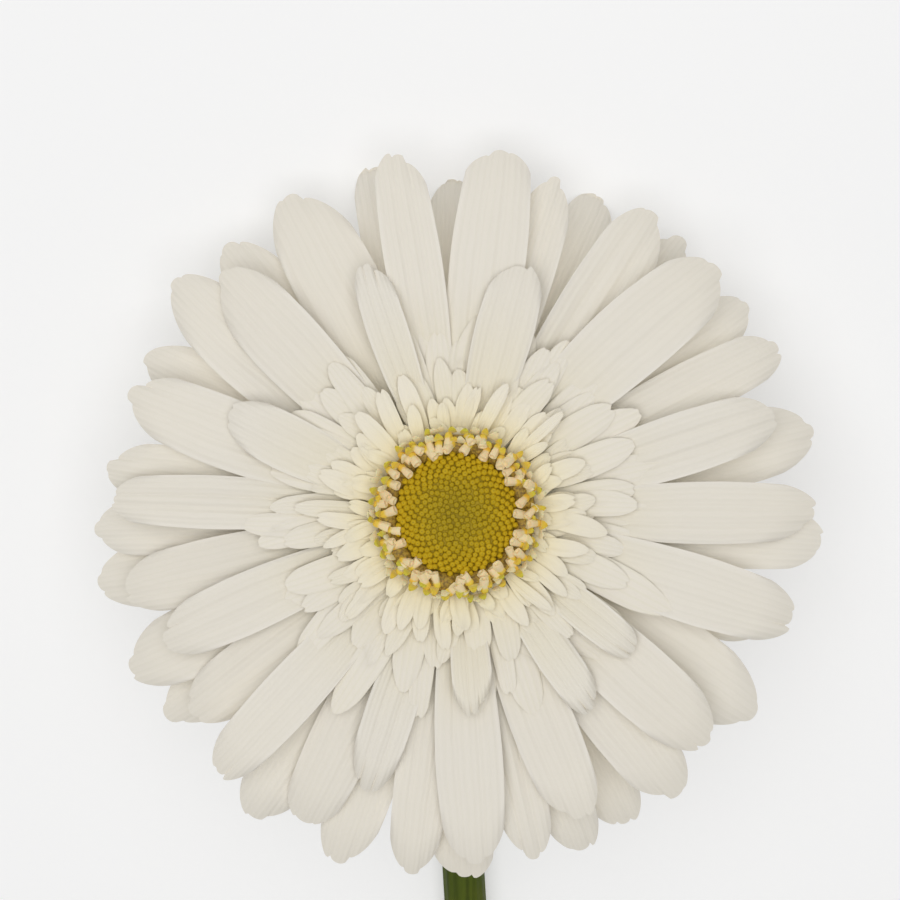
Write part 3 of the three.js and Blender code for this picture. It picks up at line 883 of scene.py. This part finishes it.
def buds():
    """Buds at the golden angle on a square-root spiral, all at once: one five-lobed knob, scaled,
    stood along the dome's normal and set on each place."""
    rng = np.random.default_rng(17)
    k = np.arange(BUD_COUNT) + 0.5
    share = np.sqrt(k / BUD_COUNT)
    out = (EYE_RADIUS + 0.1) * share + rng.normal(0, 0.06, BUD_COUNT)
    turn = k * np.pi * (3 - math.sqrt(5)) + rng.normal(0, 0.07, BUD_COUNT) / out
    slope = (dome_height(out + 0.01) - dome_height(out)) / 0.01
    tilt = np.arctan(slope) * 0.8
    radial = np.stack([np.cos(turn), np.sin(turn), 0 * turn], -1)
    tangent = np.stack([-np.sin(turn), np.cos(turn), 0 * turn], -1)
    upright = np.array([0.0, 0.0, 1.0])
    normal = np.cos(tilt)[:, None] * upright - np.sin(tilt)[:, None] * radial
    outwards = np.cross(tangent, normal)
    size = BUD_SIZE * (0.88 + 0.2 * share) * rng.uniform(0.88, 1.14, BUD_COUNT)
    tall = size * (0.6 + 0.6 * share**2) * rng.uniform(0.8, 1.25, BUD_COUNT)
    around = np.linspace(0, 2 * np.pi, BUD_SIDES, endpoint=False)
    radius, height, level = np.array(KNOB_LEVELS).T
    star = 1 + 0.09 * np.cos(5 * around)
    ring = np.stack([star * np.cos(around), star * np.sin(around)], -1)
    rings = radius[:, None, None] * ring
    heights = np.broadcast_to(height[:, None, None], (len(radius), BUD_SIDES, 1))
    rings = np.concatenate([rings, heights], -1).reshape(-1, 3)
    knob = np.vstack([rings, [0.0, 0.0, KNOB_FOOT], [0.0, 0.0, KNOB_TOP]])
    frames = np.stack([size[:, None] * outwards, size[:, None] * tangent, tall[:, None] * normal], 1)
    centre = out[:, None] * radial + dome_height(out)[:, None] * upright
    verts = knob @ frames + centre[:, None]
    a = np.arange(BUD_SIDES)
    b = (a + 1) % BUD_SIDES
    last = (len(radius) - 1) * BUD_SIDES
    band = np.stack([a, b, b + BUD_SIDES, a + BUD_SIDES], -1)
    quads = np.vstack([band + start for start in range(0, last, BUD_SIDES)])
    foot, top = len(rings), len(rings) + 1
    tris = np.vstack([np.stack([b, a, 0 * a + foot], -1), np.stack([last + a, last + b, 0 * a + top], -1)])
    shift = np.arange(BUD_COUNT)[:, None, None] * len(knob)
    v = np.append(np.repeat(level, BUD_SIDES), [0.0, 1.0])
    uv = np.stack([np.zeros(len(v)), v], -1)
    return outward({
        "verts": from_head(verts.reshape(-1, 3)),
        "quads": (quads[None] + shift).reshape(-1, 4),
        "tris": (tris[None] + shift).reshape(-1, 3),
        "uv4": np.tile(uv[quads], (BUD_COUNT, 1, 1)),
        "uv3": np.tile(uv[tris], (BUD_COUNT, 1, 1)),
        "tone": np.repeat(share, len(knob)),
    })


def eye_finish():
    """Olive, yellower towards the rim and on top of each bud; each bud darkens towards its foot, painted
    shade in the gaps between buds.
    """
    f = Finish("eye_olive", specular_ior_level=0.12)
    top, tone = f.uv("Y"), f.tone()
    grain = f.noise(f.place(), 1800, 2.0)
    low = f.mix(tone, (0.33, 0.23, 0.006), (0.44, 0.29, 0.008))
    high = f.mix(tone.step(0.2, 1.0), (0.42, 0.3, 0.012), (0.62, 0.42, 0.015))
    # Painted shade: each bud is darker at its foot, in the gaps between buds, than on its top.
    bud = f.mix(top.step(0.25, 0.8) * (0.7 + grain * 0.45), low, high)
    f.feed("Base Color", f.mix(top.step(0.95, 0.99) * 0.6, bud, (0.24, 0.17, 0.004)))
    f.feed("Roughness", 0.38 + grain * 0.25)
    f.bump(grain, 0.00005, 0.5)
    return f


DOME_DROP = 0.1
dome_out = EYE_RADIUS * np.sqrt(np.linspace(0.02, 1, 14))[::-1] - DOME_DROP
dome = np.stack([dome_out, dome_height(dome_out) - DOME_DROP], -1)
dome = np.vstack([[[EYE_RADIUS - 2 * DOME_DROP, EYE_FOOT + 0.02]], dome])
dome_part = turned(dome[:, 0], dome[:, 1], 64)
piece("eye", "disc_buds", eye_finish(), [dome_part, buds()])

# Table, lights and camera -----------------------------------------------------------------------
# A plain white table that glows a little, under soft studio light: a wide lamp above the face of
# the flower and white surroundings. The camera looks straight into the face, stem downwards.
TABLE_HALF = 3.0
TABLE_GLOW = 0.355
KEY_OFFSET = (-0.12, 0.5, 1.6)
KEY_SIZE = 1.9
KEY_POWER = 21.5
WORLD_STRENGTH = 0.32
CAMERA_LENS = 100.0
CAMERA_DISTANCE = 0.374
AIM = np.array([-0.9, 9.3, 0.0])

bpy.ops.mesh.primitive_plane_add(size=2 * TABLE_HALF, location=(0, 0, 0))
table = bpy.context.object
table.name = "table"
cloth = Finish("table_white", roughness=0.8, specular_ior_level=0.2, emission_strength=TABLE_GLOW)
mottle = cloth.noise(cloth.place(), 6, 2.0)
cloth.feed("Base Color", cloth.mix(mottle, (0.65, 0.65, 0.65), (0.66, 0.66, 0.66)))
cloth.feed("Emission Color", cloth.mix(mottle, (0.98, 0.98, 0.98), (1.0, 1.0, 1.0)))
table.data.materials.append(cloth.material)


def looking(position, target, up):
    """The matrix of a lamp or camera at a position, facing a target, with its top towards up."""
    back = (Vector(position) - Vector(target)).normalized()
    right = Vector(up).cross(back).normalized()
    turn = Matrix((right, back.cross(right), back)).transposed().to_4x4()
    return Matrix.Translation(position) @ turn


light = bpy.data.lights.new("key_lamp", "AREA")
light.shape = "SQUARE"
light.size = KEY_SIZE
light.energy = KEY_POWER
key_lamp = bpy.data.objects.new("key_lamp", light)
bpy.context.scene.collection.objects.link(key_lamp)
lamp_place = Vector(HEAD_CENTRE) + Vector(KEY_OFFSET)
key_lamp.matrix_world = looking(lamp_place, HEAD_CENTRE, (0, 1, 0.01))

world = bpy.data.worlds.new("studio")
world.use_nodes = True
world.node_tree.nodes["Background"].inputs["Color"].default_value = (1, 1, 1, 1)
world.node_tree.nodes["Background"].inputs["Strength"].default_value = WORLD_STRENGTH
scene = bpy.context.scene
scene.world = world
scene.view_settings.view_transform = "Standard"

lens = bpy.data.cameras.new("camera")
lens.lens = CAMERA_LENS
lens.clip_end = 20
camera = bpy.data.objects.new("camera", lens)
scene.collection.objects.link(camera)
aim = from_head(AIM)
camera.matrix_world = looking(aim + HEAD_W * CAMERA_DISTANCE, aim, HEAD_V)
scene.camera = camera
